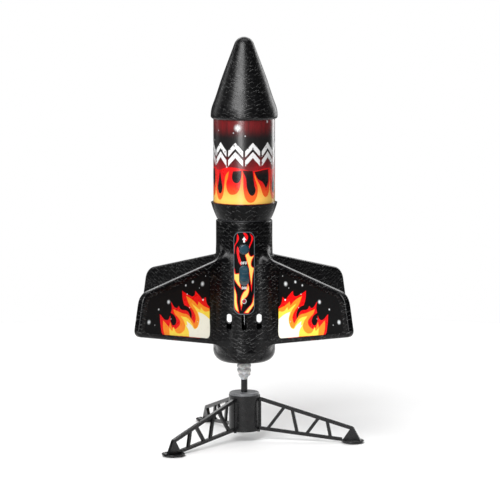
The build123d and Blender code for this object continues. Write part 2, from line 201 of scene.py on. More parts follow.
def moulded_plastic(name, colour, roughness, gloss=0.5):
    """Injection-moulded plastic: fine spark-erosion grain and slightly uneven sheen."""
    g = Graph(name, Specular_IOR_Level=gloss)
    lighter = (*(min(1.0, part * 1.25 + 0.004) for part in colour[:3]), 1.0)
    g.put("Base Color", g.mix(g.ramp(g.noise(g.place, 140.0, 4.0), 0.35, 0.7), colour, lighter))
    g.put("Roughness", g.ramp(g.noise(g.place, 260.0, 4.0), 0.25, 0.75, roughness - 0.05, roughness + 0.09))
    g.put("Normal", g.bump(g.noise(g.place, 2600.0, 3.0), 0.12, 0.08 * MM))
    return g.material


def metal(name, colour, roughness):
    """Turned metal: fine tool lines round the axis."""
    g = Graph(name, Metallic=1.0)
    lines = g.noise(g.vector("MULTIPLY", g.place, (1.0, 1.0, 14.0)), 900.0, 4.0)
    g.put("Base Color", g.mix(lines, shaded(colour, 0.8), colour))
    g.put("Roughness", g.ramp(lines, 0.2, 0.8, roughness - 0.07, roughness + 0.08))
    g.put("Normal", g.bump(lines, 0.1, 0.05 * MM))
    return g.material


def ink(name, colour, deep=None, along=None, gloss=0.3, shine=0.2):
    """Printed ink, faintly mottled. With deep, it goes from deep at the first height of along, in
    millimetres, to colour at the second."""
    g = Graph(name, Specular_IOR_Level=shine)
    tone = colour
    if deep:
        low, high = along
        tone = g.mix(g.ramp(g.split(g.place)[2], low * MM, high * MM), deep, colour)
    speck = g.ramp(g.noise(g.place, 2200.0, 3.0), 0.3, 0.75, 0.0, 0.1)
    g.put("Base Color", g.mix(speck, tone, srgb(20, 18, 18)))
    g.put("Roughness", g.ramp(g.noise(g.place, 300.0, 3.0), 0.3, 0.7, gloss - 0.04, gloss + 0.05))
    return g.material


def spots(g, where, tone, centres):
    """Soft round lights laid over a colour, each as (u, v, radius) in millimetres; where holds u and v."""
    for u, v, size in centres:
        reach = g.vector("DISTANCE", where, (u * MM, v * MM, 0.0))
        tone = g.mix(g.ramp(reach, size * 0.1 * MM, size * MM, 1.0, 0.0), tone, srgb(206, 210, 212))
    return tone


# Star lights on a fin, as (distance out, height, radius)
FIN_STARS = ((58, 156, 3.0), (70.5, 159, 1.9), (79.5, 156.6, 1.4), (101.5, 143.3, 2.6), (114, 137.6, 1.3),
             (126.3, 127, 2.8), (119, 123.5, 0.7), (62, 152.5, 0.7), (54, 163, 0.7))


def fin_film_material():
    """Black satin film with a few soft star lights, placed by distance out from the axis."""
    g = Graph("fin_night_film", Specular_IOR_Level=0.08)
    x, y, z = g.split(g.place)[:3]
    out = g.vector("LENGTH", g.join(x, y, 0.0))
    tone = g.mix(g.ramp(g.noise(g.place, 900.0, 3.0), 0.3, 0.8), srgb(10, 10, 11), srgb(15, 15, 16))
    g.put("Base Color", spots(g, g.join(out, z, 0.0), tone, FIN_STARS))
    g.put("Roughness", g.ramp(g.noise(g.place, 400.0, 3.0), 0.3, 0.7, 0.42, 0.52))
    return g.material


# Star lights on the label, as (distance round from the front, height, radius)
LABEL_STARS = ((-6.1, 300.5, 4.6), (-10.2, 295.8, 0.9), (1.0, 293.1, 0.9), (24.4, 306, 1.7),
               (-28, 297.6, 0.7), (-17.3, 263.7, 1.2), (36, 290, 1.0), (-36, 288, 1.0))


def label_material():
    """Glossy sleeve: maroon glow above, black in the middle, red glow again behind the flames."""
    g = Graph("label_night_glow", Coat_Weight=0.8, Coat_Roughness=0.24, Roughness=0.3)
    x, y, z = g.split(g.place)[:3]
    turn = g.math("ARCTAN2", x, g.math("MULTIPLY", y, -1.0))
    arc = g.math("MULTIPLY", turn, LABEL_R * MM)
    streak = g.noise(g.join(g.math("MULTIPLY", turn, 5.0), g.math("MULTIPLY", z, 9.0), 0.0), 2.2, 3.0)
    haze = g.noise(g.place, 45.0, 2.0)
    glow = g.math("MULTIPLY", g.ramp(z, 290 * MM, 303 * MM), g.ramp(streak, 0.25, 0.7, 0.45, 1.0))
    tone = g.mix(glow, srgb(18, 16, 17), srgb(112, 20, 24))
    low = g.math("MULTIPLY", g.ramp(z, 280 * MM, 258 * MM, 0.0, 1.0), g.ramp(haze, 0.3, 0.6, 0.5, 1.0))
    tone = g.mix(low, tone, srgb(150, 18, 26))
    g.put("Base Color", spots(g, g.join(arc, z, 0.0), tone, LABEL_STARS))
    return g.material


def glossy_ink(name, colour, deep, along):
    """Fading ink under the label's clear gloss."""
    made = ink(name, colour, deep, along)
    shader = made.node_tree.nodes["Principled BSDF"]
    shader.inputs["Coat Weight"].default_value = 0.8
    shader.inputs["Coat Roughness"].default_value = 0.24
    return made


def distressed_ink():
    """White letterpress ink with chips and scratches, under the label's gloss."""
    g = Graph("distressed_white_ink", Coat_Weight=0.8, Coat_Roughness=0.24, Roughness=0.35)
    chips = g.ramp(g.cells(warped(g, 2 * MM, 300.0), 330.0), 0.22, 0.27, 1.0, 0.0)
    rare = g.ramp(g.noise(g.place, 130.0, 2.0), 0.5, 0.56)
    scratch = g.ramp(g.noise(g.vector("MULTIPLY", g.place, (1.0, 1.0, 5.0)), 420.0, 3.0), 0.66, 0.7)
    gone = g.math("MAXIMUM", g.math("MULTIPLY", chips, rare), g.math("MULTIPLY", scratch, 0.8))
    g.put("Base Color", g.mix(gone, srgb(218, 218, 218), srgb(52, 40, 42)))
    return g.material


def silicone_material():
    """Cloudy silicone that lets a little light in."""
    g = Graph("milky_silicone", Subsurface_Weight=0.1, Subsurface_Scale=2 * MM, Roughness=0.38,
              Specular_IOR_Level=0.45)
    cloud = g.ramp(g.noise(g.place, 330.0, 4.0), 0.3, 0.7)
    g.put("Base Color", g.mix(cloud, srgb(150, 150, 150), srgb(206, 206, 206)))
    g.put("Normal", g.bump(g.noise(g.place, 700.0, 4.0), 0.3, 0.25 * MM))
    return g.material


def bottle_material():
    """Clear blown plastic, smeared here and there."""
    g = Graph("clear_bottle_plastic", Transmission_Weight=0.85, IOR=1.5)
    g.put("Base Color", g.mix(g.noise(g.place, 60.0, 2.0), srgb(214, 226, 232), srgb(238, 244, 246)))
    g.put("Roughness", g.ramp(g.noise(g.place, 120.0, 3.0), 0.3, 0.7, 0.05, 0.14))
    return g.material


def lens_material():
    """The lamp's tinted, half clear lens."""
    g = Graph("red_indicator_lens", Transmission_Weight=0.4, IOR=1.5, Roughness=0.12)
    g.put("Base Color", g.mix(g.noise(g.place, 900.0, 2.0), srgb(150, 12, 30), srgb(222, 60, 84)))
    return g.material


def board_material():
    """Green solder mask with paler tracks."""
    g = Graph("circuit_board_mask", Roughness=0.3)
    x = g.split(g.place)[0]
    tracks = g.math("SINE", g.math("MULTIPLY", g.math("ADD", x, g.noise(g.place, 90.0, 0.0)), 2600.0))
    track = g.math("MULTIPLY", g.ramp(tracks, 0.55, 0.75), g.ramp(g.noise(g.place, 200.0, 1.0), 0.45, 0.5))
    g.put("Base Color", g.mix(track, srgb(10, 72, 34), srgb(34, 120, 62)))
    g.put("Normal", g.bump(track, 0.4, 0.05 * MM))
    return g.material


def cloth_material(name, colour):
    """Thin woven nylon: crossed threads and a soft sheen."""
    g = Graph(name, Roughness=0.6, Sheen_Weight=0.35, Sheen_Roughness=0.4)
    x, y, z = g.split(g.place)[:3]
    around = g.math("ARCTAN2", x, y)
    weave = g.math("MULTIPLY", g.math("SINE", g.math("MULTIPLY", around, 220.0)),
                   g.math("SINE", g.math("MULTIPLY", z, 11000.0)))
    shade = g.math("ADD", g.math("MULTIPLY", g.ramp(weave, -1.0, 1.0), 0.5),
                   g.math("MULTIPLY", g.noise(g.place, 160.0, 3.0), 0.5))
    g.put("Base Color", g.mix(shade, shaded(colour, 0.55), colour))
    g.put("Normal", g.bump(weave, 0.35, 0.08 * MM))
    return g.material


def cell_material():
    """Blue shrink wrap with a paler band round each end."""
    g = Graph("blue_cell_wrap", Roughness=0.22)
    from_middle = g.math("ABSOLUTE", g.math("SUBTRACT", g.split(g.place)[2], CELL_Z * MM))
    band = g.ramp(from_middle, 20.4 * MM, 20.6 * MM)
    blue = g.mix(g.noise(g.place, 300.0, 3.0), srgb(20, 62, 128), srgb(30, 82, 156))
    g.put("Base Color", g.mix(band, blue, srgb(196, 200, 206)))
    g.put("Normal", g.bump(g.noise(g.place, 500.0, 3.0), 0.2, 0.1 * MM))
    return g.material


def rubber_material(name, colour):
    """Dull moulded rubber."""
    g = Graph(name, Roughness=0.6)
    g.put("Base Color", g.mix(g.noise(g.place, 400.0, 4.0), shaded(colour, 0.7), colour))
    g.put("Normal", g.bump(g.noise(g.place, 1800.0, 3.0), 0.2, 0.1 * MM))
    return g.material


# ---- pieces from outlines ----------------------------------------------------
def new_object(name, mesh, material, body):
    """Adds a piece that rides on a body, with the given material as its finish."""
    obj = bpy.data.objects.new(name, mesh)
    bpy.context.scene.collection.objects.link(obj)
    mesh.materials.clear()
    mesh.materials.append(material)
    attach(obj, body)
    return obj


def counter_clockwise(outline):
    """The same outline, turned round if it runs clockwise."""
    pairs = zip(outline, outline[1:] + outline[:1])
    area = sum(a[0] * b[1] - b[0] * a[1] for a, b in pairs)
    return outline if area > 0 else outline[::-1]


def flat_outline(outlines, grow=0.0, steps=7):
    """Fills smooth closed outlines, in millimetres. A point (u, v) is smooth and (u, v, 1) is a sharp tip."""
    curve = bpy.data.curves.new("outline", "CURVE")
    curve.dimensions, curve.fill_mode = "2D", "BOTH"
    curve.resolution_u, curve.offset = steps, grow
    for outline in outlines:
        spline = curve.splines.new("BEZIER")
        spline.use_cyclic_u = True
        spline.bezier_points.add(len(outline) - 1)
        for knot, place in zip(spline.bezier_points, counter_clockwise(outline)):
            knot.co = (place[0], place[1], 0.0)
            kind = "VECTOR" if len(place) > 2 else "AUTO"
            knot.handle_left_type = knot.handle_right_type = kind
    holder = bpy.data.objects.new("outline", curve)
    bpy.context.scene.collection.objects.link(holder)
    bpy.context.view_layer.update()
    mesh = bpy.data.meshes.new_from_object(holder.evaluated_get(bpy.context.evaluated_depsgraph_get()))
    bpy.data.objects.remove(holder)
    bpy.data.curves.remove(curve)
    return mesh


def slice_strips(bm, step):
    """Cuts a flat mesh into upright strips so that it can follow a round surface."""
    across = [v.co.x for v in bm.verts]
    cut = (int(min(across) / step) - 1) * step
    while cut < max(across):
        geometry = bm.verts[:] + bm.edges[:] + bm.faces[:]
        bmesh.ops.bisect_plane(bm, geom=geometry, plane_co=(cut, 0, 0), plane_no=(1, 0, 0))
        cut += step


def capsule(u, v, half_width, half_height, steps=12):
    """A round-ended upright window; with equal halves it is a circle."""
    rise = half_height - half_width
    turns = [pi * k / steps for k in range(steps + 1)]
    top = [(u + half_width * cos(t), v + rise + half_width * sin(t)) for t in turns]
    return top + [(2 * u - a, 2 * v - b) for a, b in top]


def cut_window(bm, outline):
    """Opens a convex window, given counter-clockwise, in a flat mesh."""
    corners = [Vector((*place, 0.0)) for place in outline]
    sides = []
    for start, end in zip(corners, corners[1:] + corners[:1]):
        run = end - start
        if run.length > 1e-6:
            sides.append((start, Vector((run.y, -run.x, 0.0))))
    for start, outward in sides:
        geometry = bm.verts[:] + bm.edges[:] + bm.faces[:]
        bmesh.ops.bisect_plane(bm, geom=geometry, plane_co=start, plane_no=outward)
    inside = [f for f in bm.faces
              if all(outward.dot(f.calc_center_median() - start) < 0 for start, outward in sides)]
    bmesh.ops.delete(bm, geom=inside, context="FACES")


def print_layer(name, outlines, wrap, level, material, grow=0.0, strip=None, windows=()):
    """A thin layer of ink on the rocket: outlines filled, wrapped on a surface, and given a thickness.

    grow widens the outlines, strip cuts them into facets, and windows are openings left in the ink."""
    mesh = flat_outline(outlines, grow)
    bm = bmesh.new()
    bm.from_mesh(mesh)
    bmesh.ops.remove_doubles(bm, verts=bm.verts[:], dist=1e-4)
    for window in windows:
        cut_window(bm, window)
    if strip:
        slice_strips(bm, strip)
    bmesh.ops.triangulate(bm, faces=bm.faces[:])
    bottom = level * LAYER
    made = bmesh.ops.extrude_face_region(bm, geom=bm.faces[:])
    raised = {v for v in made["geom"] if isinstance(v, bmesh.types.BMVert)}
    for vert in bm.verts:
        rise = INK_THICK if vert in raised else 0.0
        vert.co = wrap(vert.co.x, vert.co.y, bottom + rise)
    bmesh.ops.recalc_face_normals(bm, faces=bm.faces[:])
    bm.to_mesh(mesh)
    bm.free()
    mesh.name = name
    return new_object(name, mesh, material, "rocket")


def on_fin(angle, side):
    """Wraps (distance out, height) in millimetres onto a fin's printed face."""
    turn = radians(angle - 90.0)
    out = Vector((cos(turn), sin(turn), 0))
    across = Vector((-sin(turn), cos(turn), 0)) * side
    return lambda u, v, h: (out * u + across * (FIN_FILM + h) + Vector((0, 0, v))) * MM


def on_label(u, v, h):
    """Wraps (degrees from the front, height) onto the label."""
    radius = LABEL_R + h
    return Vector((radius * sin(radians(u)), -radius * cos(radians(u)), v)) * MM


def body_radius(z):
    """The fuselage's radius in millimetres at a height: it widens evenly below the shoulder."""
    return NECK_R + max(0.0, SHOULDER_Z - z) * (BILGE_R - NECK_R) / (SHOULDER_Z - BILGE_Z)


def on_panel(u, v, h):
    """Wraps (sideways, height) onto the panel's curved film."""
    radius = body_radius(v) + PANEL_PROUD + h
    return Vector((u, -sqrt(radius ** 2 - u ** 2), v)) * MM


# Flames on a fin, as (distance out, height): each colour lies on the one before.
FIN_FLAMES = {
    "red": [(108.5, 113.3), (111.6, 122), (112.6, 133, 1), (102.8, 126.6), (99.3, 130.4, 1), (98.6, 124),
            (95.4, 120.8), (92.1, 122.6), (93, 128.4), (98.6, 133, 1), (97.4, 137.5), (98.8, 143.6, 1),
            (91.2, 136.6), (88.4, 138.4, 1), (86.6, 135.4), (77.2, 132), (72.6, 122.8, 1), (72.2, 130),
            (76, 135.6), (81.4, 138.2, 1), (83.4, 143.6), (84.2, 152.2, 1), (77, 148), (68.9, 145.9),
            (67.2, 150.4, 1), (60.4, 144), (58.0, 141.6), (53.9, 143.2, 1), (52, 136.5), (48.8, 133.2, 1),
            (48.8, 110, 1), (51, 104.4, 1)],
    "orange": [(106.8, 113.1, 1), (108.6, 120), (108.5, 126.9, 1), (101, 119.6, 1), (99.6, 124.2, 1),
               (95.2, 117.6), (89.4, 118.6), (86.6, 122.8), (89, 127), (93.8, 131.6), (95.6, 136, 1),
               (84.6, 131.2), (76.6, 128.4), (68.8, 119.6, 1), (66.8, 124), (69.2, 131), (74.6, 137.4),
               (79.2, 146.8, 1), (70, 141.6), (64.2, 136.2, 1), (63.2, 139.9, 1), (57.5, 135.6),
               (48.8, 131.6, 1), (48.8, 110, 1), (51, 104.4, 1)],
    "yellow": [(100.2, 112.1, 1), (100.8, 119.2, 1), (96.9, 115.4, 1), (95.3, 119.2, 1), (91.6, 113.6),
               (84.4, 113), (80.4, 117.6), (81.4, 122), (86.2, 128.6, 1), (76.4, 125.2), (71.4, 119.4),
               (67.2, 115), (62.6, 121), (63.8, 127.6), (72, 139, 1), (61, 131.6, 1), (60.2, 134.4, 1),
               (55.2, 129.8), (48.8, 129.4, 1), (48.8, 110, 1), (51, 104.4, 1)],
    "cream": [(75.2, 107.9, 1), (76.2, 114), (79.9, 119.8, 1), (77.4, 118.6, 1), (78.7, 123.2, 1), (73, 119),
              (67.2, 114.4), (62, 121.5), (63.8, 130.2, 1), (56.4, 127), (48.8, 121.6, 1), (48.8, 107.4),
              (49.7, 104.6), (52.6, 104, 1)],
}
# Small sparks over the flames, as (distance out, height, radius)
FIN_SPARKS = ((57.5, 140.9, 0.9), (77.9, 148.3, 0.5), (74.8, 135.4, 0.5), (98.6, 127.2, 0.35),
              (64.4, 121, 0.35))

# Label, as (degrees round, height), for one third of the way round.
LABEL_RED = [(-63.2, 228.8, 1), (-63.2, 261.5, 1), (-52, 260.4), (-40, 262.6), (-28, 263.6), (-14, 263.2),
             (0, 261.8), (14, 260.2), (30, 261), (44, 262.4), (56.8, 262.6, 1), (56.8, 228.8, 1)]
LABEL_FIRE = [(-63.1, 229, 1), (-63.1, 261, 1), (-64.6, 250), (-61.5, 238.6), (-52, 232.4), (-43, 236.8),
              (-39.5, 247), (-37, 255), (-29, 260.2, 1), (-31.5, 254), (-35, 247.5), (-31.5, 240.6),
              (-20, 238.0), (-10, 242), (-5.6, 252), (-3, 260.6, 1), (-1.6, 252), (-1, 242), (3.6, 233.4),
              (13, 230.6), (22.6, 234.4), (26, 243), (22.8, 249.4), (20.6, 252.4), (19, 258.6, 1),
              (24.6, 252), (32, 245), (37.2, 238), (45, 235.2), (52.6, 240), (55, 250), (56.9, 261, 1),
              (56.9, 229, 1)]
LABEL_DROPS = [
    [(-51, 260.4, 1), (-54.5, 251), (-57.4, 243.6), (-51, 238.4), (-44.4, 243), (-46.6, 250)],
    [(-21, 260, 1), (-22.6, 253.2), (-14.6, 249), (-6.6, 252.6), (-5, 260.6, 1)],
    [(-3, 261, 1), (3.6, 253), (5.6, 244), (14, 237.2), (21.4, 241.4), (19.2, 247), (16.2, 260.2, 1)],
    [(19, 259.6, 1), (26.6, 252.6), (36, 249.6), (45, 243.4, 1), (51.4, 251), (50, 261.4, 1)],
]
LABEL_STAR = [(-12, 304.6, 1), (-11.1, 301, 1), (-6.6, 300.5, 1), (-11.1, 300, 1), (-12, 296.4, 1),
              (-12.9, 300, 1), (-17.4, 300.5, 1), (-12.9, 301, 1)]
# Chevrons in two rows round the label: half a width in degrees, the rest in millimetres
CHEVRONS = 11
CHEVRON_LOWS = (264.6, 273.2)
CHEVRON_HALF, CHEVRON_RISE, CHEVRON_THICK = 14.4, 8.0, 5.6

# Panel, as (sideways, height): strokes with a red edge round yellow, and plain red ones.
PANEL_FIRE = [
    [(1.9, 182.8), (3.6, 184, 1), (6.2, 179.4), (9.1, 180.4, 1), (7.2, 176.8), (6.2, 172.6), (7.3, 169.6),
     (9.1, 168.6, 1), (7.7, 162), (6.9, 152.6, 1), (5.8, 161), (4.2, 171), (2.6, 177)],
    [(-9.1, 165.6, 1), (-8.4, 163.2), (-4.6, 163.4, 1), (-4.4, 157), (-3.4, 150.6, 1), (-6, 153.6),
     (-9.1, 158.4, 1)],
    [(3.5, 153.4, 1), (4.4, 149.4), (2.6, 142.6), (-0.6, 139.4), (-2.6, 132.4, 1), (-3.1, 138),
     (-0.6, 145.4), (2.6, 149)],
    [(-9.1, 149.6, 1), (-7.4, 143.4), (-7.1, 137), (-6, 130.6), (-5.4, 127.4, 1), (-8.2, 130.6),
     (-9.1, 135, 1)],
    [(9.1, 141.4, 1), (7.6, 135), (3.6, 130.4), (0.8, 126.9, 1), (3.8, 126.6, 1), (6.6, 130.6),
     (9.1, 134, 1)],
]
PANEL_RED = [
    [(-1.1, 202.1, 1), (1.2, 202.1, 1), (3.4, 199.4), (3.1, 195.6), (1.1, 193.4, 1), (1.2, 197.4)],
    [(-6.2, 201.6, 1), (-4.9, 197), (-6.2, 193.4), (-8.3, 190), (-8.8, 184), (-9.15, 181.4, 1),
     (-9.15, 190.4, 1), (-7.2, 193.8), (-6.8, 198)],
    [(5, 201.8, 1), (8.6, 197.6), (7.4, 193), (5.4, 188.4), (4.6, 184, 1), (4.4, 188.8), (6.2, 193.4),
     (6.8, 197.4)],
    [(-6.2, 189.6, 1), (-4.6, 186), (-4.7, 181.5), (-3.0, 175.5), (-3.2, 171, 1), (-5.0, 174.5),
     (-6.5, 180.5), (-7.0, 185.5)],
]
# What the panel's prints leave open, as (sideways, height, half width, half height): the button, the
# whole well that the knob slides in, and the lamp
PANEL_OPENINGS = ((0.0, BUTTON_Z, 5.1, 5.1), (0.0, 162.0, 4.75, 9.75), (0.0, LAMP_Z, 1.9, 1.9))
# The windows that cut the prints off past each side edge of the panel
TRIM_WIDTH, TRIM_LOW, TRIM_HIGH = 10.0, 110.0, 220.0


def oval(u, v, half_width, half_height=None):
    """Eight smooth points round an oval, or round a circle if only one size is given."""
    tall = half_height or half_width
    return [(u + half_width * cos(pi / 4 * k), v + tall * sin(pi / 4 * k)) for k in range(8)]


def ring_mark(u, v, width, height, stroke):
    """Two ovals, one inside the other: the fill leaves the inner one open."""
    return [oval(u, v, width / 2, height / 2), oval(u, v, width / 2 - stroke, height / 2 - stroke)]


def letter_n(left, low, tall):
    """A bold capital N with its lower left corner at (left, low)."""
    high = low + tall
    return [(left, low, 1), (left + 0.5, low, 1), (left + 0.5, high - 0.9, 1), (left + 1.3, low, 1),
            (left + 1.9, low, 1), (left + 1.9, high, 1), (left + 1.4, high, 1), (left + 1.4, low + 0.9, 1),
            (left + 0.6, high, 1), (left, high, 1)]


def letter_f(left, low, tall, stroke):
    """A bold capital F with its lower left corner at (left, low)."""
    stem, high = left + stroke, low + tall
    return [(left, low, 1), (stem, low, 1), (stem, low + 1.0, 1), (left + 1.2, low + 1.0, 1),
            (left + 1.2, low + 1.5, 1), (stem, low + 1.5, 1), (stem, low + 2.1, 1),
            (left + 1.5, low + 2.1, 1), (left + 1.5, high, 1), (left, high, 1)]


def switch_marks():
    """An up arrow over the button, OFF over the switch, ON under it, and a ring round the lamp."""
    stroke, tall, wide = 0.5, 2.6, 1.9
    arrow = [(-0.8, 193.0, 1), (0.8, 193.0, 1), (0.8, 195.4, 1), (2.0, 195.4, 1), (0, 198.4, 1),
             (-2.0, 195.4, 1), (-0.8, 195.4, 1)]
    marks = [arrow, *ring_mark(-2.3, OFF_Z, wide, tall, stroke), *ring_mark(-1.35, ON_Z, wide, tall, stroke),
             *ring_mark(0, LAMP_Z, 4.5, 4.5, 0.35)]
    marks += [letter_f(left, OFF_Z - tall / 2, tall, stroke) for left in (-0.8, 1.25)]
    marks.append(letter_n(0.3, ON_Z - tall / 2, tall))
    return marks


def fin_prints(inks):
    """Four layers of flame and one of sparks on each fin."""
    for name, angle in FIN_ANGLES.items():
        wrap = on_fin(angle, FIN_PRINT_SIDE[name])
        for level, (colour, outline) in enumerate(FIN_FLAMES.items()):
            print_layer(f"flame_{colour}_{name}", [outline], wrap, level, inks[colour])
        sparks = [oval(*spark) for spark in FIN_SPARKS]
        print_layer(f"flame_sparks_{name}", sparks, wrap, len(FIN_FLAMES), inks["white"])


def turned(outline, degrees):
    """A label outline, moved round the label."""
    return [(place[0] + degrees, *place[1:]) for place in outline]


def chevron(middle, low):
    """One launch chevron, pointing up."""
    left, right, high = middle - CHEVRON_HALF, middle + CHEVRON_HALF, low + CHEVRON_THICK
    return [(left, low, 1), (middle, low + CHEVRON_RISE, 1), (right, low, 1), (right, high, 1),
            (middle, high + CHEVRON_RISE, 1), (left, high, 1)]


def label_prints(inks):
    """Three repeats of the drips and flames, and above them two rows of chevrons and a star."""
    for index in range(3):
        turn = (index - 1) * 120.0
        for part, outlines, level in (("red", [LABEL_RED], 0), ("fire", [LABEL_FIRE], 1),
                                      ("drips", LABEL_DROPS, 1)):
            print_layer(f"label_{part}_{index}", [turned(outline, turn) for outline in outlines], on_label,
                        level, inks[f"label_{part}"], strip=LABEL_STRIP)
    middles = [360.0 / CHEVRONS * index - 180.0 for index in range(CHEVRONS)]
    marks = [chevron(middle, low) for middle in middles for low in CHEVRON_LOWS]
    print_layer("label_chevrons", [*marks, LABEL_STAR], on_label, 0, inks["distressed"],
                strip=LABEL_STRIP)


def side_trim(left):
    """A tall window beside the panel, from its left side."""
    right = left + TRIM_WIDTH
    return [(left, TRIM_LOW), (right, TRIM_LOW), (right, TRIM_HIGH), (left, TRIM_HIGH)]


def panel_prints(inks):
    """Flames with red edges, plain red embers, and the marks, kept clear of what moves or shines."""
    windows = [capsule(*opening) for opening in PANEL_OPENINGS]
    windows += [side_trim(left) for left in (-PANEL_HALF - TRIM_WIDTH, PANEL_HALF)]
    for name, outlines, level, colour, grow in (("panel_flame_edges", PANEL_FIRE, 0, "red", 0.7),
                                                ("panel_flames", PANEL_FIRE, 1, "panel_gold", 0.0),
                                                ("panel_embers", PANEL_RED, 0, "red", 0.0)):
        print_layer(name, outlines, on_panel, level, inks[colour], grow, PANEL_STRIP, windows)
    print_layer("panel_marks", switch_marks(), on_panel, 2, inks["white"], strip=PANEL_STRIP)


# ---- soft pieces -------------------------------------------------------------
def lathe(name, profile, shape, around=96, closed=True):
    """A surface of revolution from (radius, height) in millimetres, with capped ends if closed.

    shape(place, turn) moves each of its points."""
    bm = bmesh.new()
    rings = []
    for radius, height in profile:
        ring = []
        for step in range(around):
            turn = 2 * pi * step / around
            place = Vector((radius * cos(turn), radius * sin(turn), height))
            ring.append(bm.verts.new(shape(place, turn) * MM))
        rings.append(ring)
    for low, high in zip(rings, rings[1:]):
        for step in range(around):
            after = (step + 1) % around
            bm.faces.new((low[step], low[after], high[after], high[step]))
    if closed:
        bm.faces.new(rings[0][::-1])
        bm.faces.new(rings[-1])
    bmesh.ops.remove_doubles(bm, verts=bm.verts[:], dist=1e-7)
    bmesh.ops.recalc_face_normals(bm, faces=bm.faces[:])
    for face in bm.faces:
        face.smooth = True
    mesh = bpy.data.meshes.new(name)
    bm.to_mesh(mesh)
    bm.free()
    return mesh


def smoothed(knots, steps):
    """A smooth run of points through the knots, steps from each knot to the next."""
    ends = [knots[0], *knots, knots[-1]]
    points = []
    for before, a, b, after in zip(ends, ends[1:], ends[2:], ends[3:]):
        for step in range(steps):
            t = step / steps
            points.append(tuple(0.5 * (2 * q + (r - p) * t + (2 * p - 5 * q + 4 * r - w) * t * t
                                       + (3 * q - p - 3 * r + w) * t ** 3)
                                for p, q, r, w in zip(before, a, b, after)))
    return [*points, knots[-1]]


def silicone_puff(material):
    """The seal: a soft ribbed plug of milky silicone, a little lumpy, with its bore left open."""
    bore = 2.7
    ribs = ((3.3, 58.6), (3.6, 60.2), (4.7, 61.6), (5.9, 63.2), (5.5, 64.6), (6.6, 66.3), (6.9, 68.4),
            (6.2, 69.6), (6.9, 71.2), (6.6, 73.0), (5.5, 74.4), (4.4, 75.4), (3.4, 76.1))
    outer = smoothed(ribs, 4)

    def lumpy(place, turn):
        if hypot(place.x, place.y) < bore + 0.1:
            return place
        swell = noise.noise(place * 0.24) * 0.75 + noise.noise(place * 0.6) * 0.35
        return place + Vector((cos(turn), sin(turn), 0)) * (swell - 0.2)

    mesh = lathe("silicone_seal", [*outer, (bore, 76.0), (bore, 58.9), outer[0]], lumpy, closed=False)
    seal = new_object("silicone_seal", mesh, material, "stand")
    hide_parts("post_seal")


def parachute(material):
    """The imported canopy: cloth gathered in deep folds to the middle and pressed into a round bundle."""
    low, high = box_mm("parachute_bundle")
    bottom, top, reach = low[2] + 0.4, high[2] - 0.3, high[0] - 0.7
    steps, folds = 24, 11
    profile = []
    for step in range(steps + 1):
        lean = pi * step / steps - pi / 2
        radius = reach * max(0.0012, cos(lean)) ** 0.5
        profile.append((radius, (top + bottom) / 2 + (top - bottom) / 2 * sin(lean)))

    def folded(place, turn):
        out = hypot(place.x, place.y) / reach
        around = Vector((cos(turn), sin(turn), 0))
        stray = noise.noise(Vector((around.x, around.y, place.z * 0.08)) * 1.7)
        wave = sin(folds * turn + 2.4 * stray)
        crease = -abs(wave) ** 0.6 * (0.3 + 1.1 * out)
        soft = noise.noise(place * 0.13) * 0.8 - 0.8
        lift = 0.5 * crease * (1.1 - out) if place.z > bottom + 2 else 0.0
        return place + around * (crease + soft) * min(1.0, out * 1.4) * 0.8 + Vector((0, 0, lift))

    mesh = lathe("packed_parachute", profile, folded, around=220)
    bundle = new_object("packed_parachute", mesh, material, "rocket")
    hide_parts("parachute_bundle")


# ---- the studio --------------------------------------------------------------
# Softboxes, in metres and watts: name, place, the point it faces, width and height, power
LIGHTS = (
    ("high_softbox", (-0.75, -1.5, 1.7), (0.0, 0.0, 0.33), (1.5, 1.1), 50.0),
    ("front_softbox", (-0.45, -1.95, 0.75), (0.0, 0.0, 0.3), (0.6, 1.3), 23.0),
    ("right_back_strip", (1.15, 1.4, 0.7), (0.0, 0.0, 0.22), (0.8, 1.3), 11.0),
    ("left_back_strip", (-1.6, 0.9, 0.8), (0.0, 0.0, 0.22), (0.3, 1.2), 3.0),
    ("back_box", (0.0, 1.7, 1.25), (0.0, 0.0, 0.2), (2.2, 0.9), 18.0),
    ("overhead", (0.0, 0.1, 1.7), (0.0, 0.1, 0.0), (1.3, 0.9), 8.0),
)
AIR_GLOW = 0.06                        # how much the white air lights the object
CAMERA_PLACE = (0.00551, -2.565, 0.49634)
CAMERA_TILT = 83.026                   # degrees up from straight down
CAMERA_LENS, CAMERA_SENSOR = 196.24, 36.0


def area_light(name, place, aim, size, power):
    data = bpy.data.lights.new(name, "AREA")
    data.shape, data.size, data.size_y = "RECTANGLE", *size
    data.energy = power
    light = bpy.data.objects.new(name, data)
    light.location = place
    light.rotation_euler = (Vector(aim) - Vector(place)).to_track_quat("-Z", "Y").to_euler()
    light.visible_camera = False
    bpy.context.scene.collection.objects.link(light)


def floor_mesh(reach=0.8, rings=8, around=96):
    """A flat disc of rings round a middle point, in metres."""
    bm = bmesh.new()
    centre = bm.verts.new((0, 0, 0))
    inner = None
    for ring in range(1, rings + 1):
        radius = reach * ring / rings
        turns = [2 * pi * k / around for k in range(around)]
        outer = [bm.verts.new((radius * cos(turn), radius * sin(turn), 0)) for turn in turns]
        for k in range(around):
            after = (k + 1) % around
            if inner:
                bm.faces.new((inner[k], outer[k], outer[after], inner[after]))
            else:
                bm.faces.new((centre, outer[k], outer[after]))
        inner = outer
    mesh = bpy.data.meshes.new("white_floor")
    bm.to_mesh(mesh)
    bm.free()
    return mesh


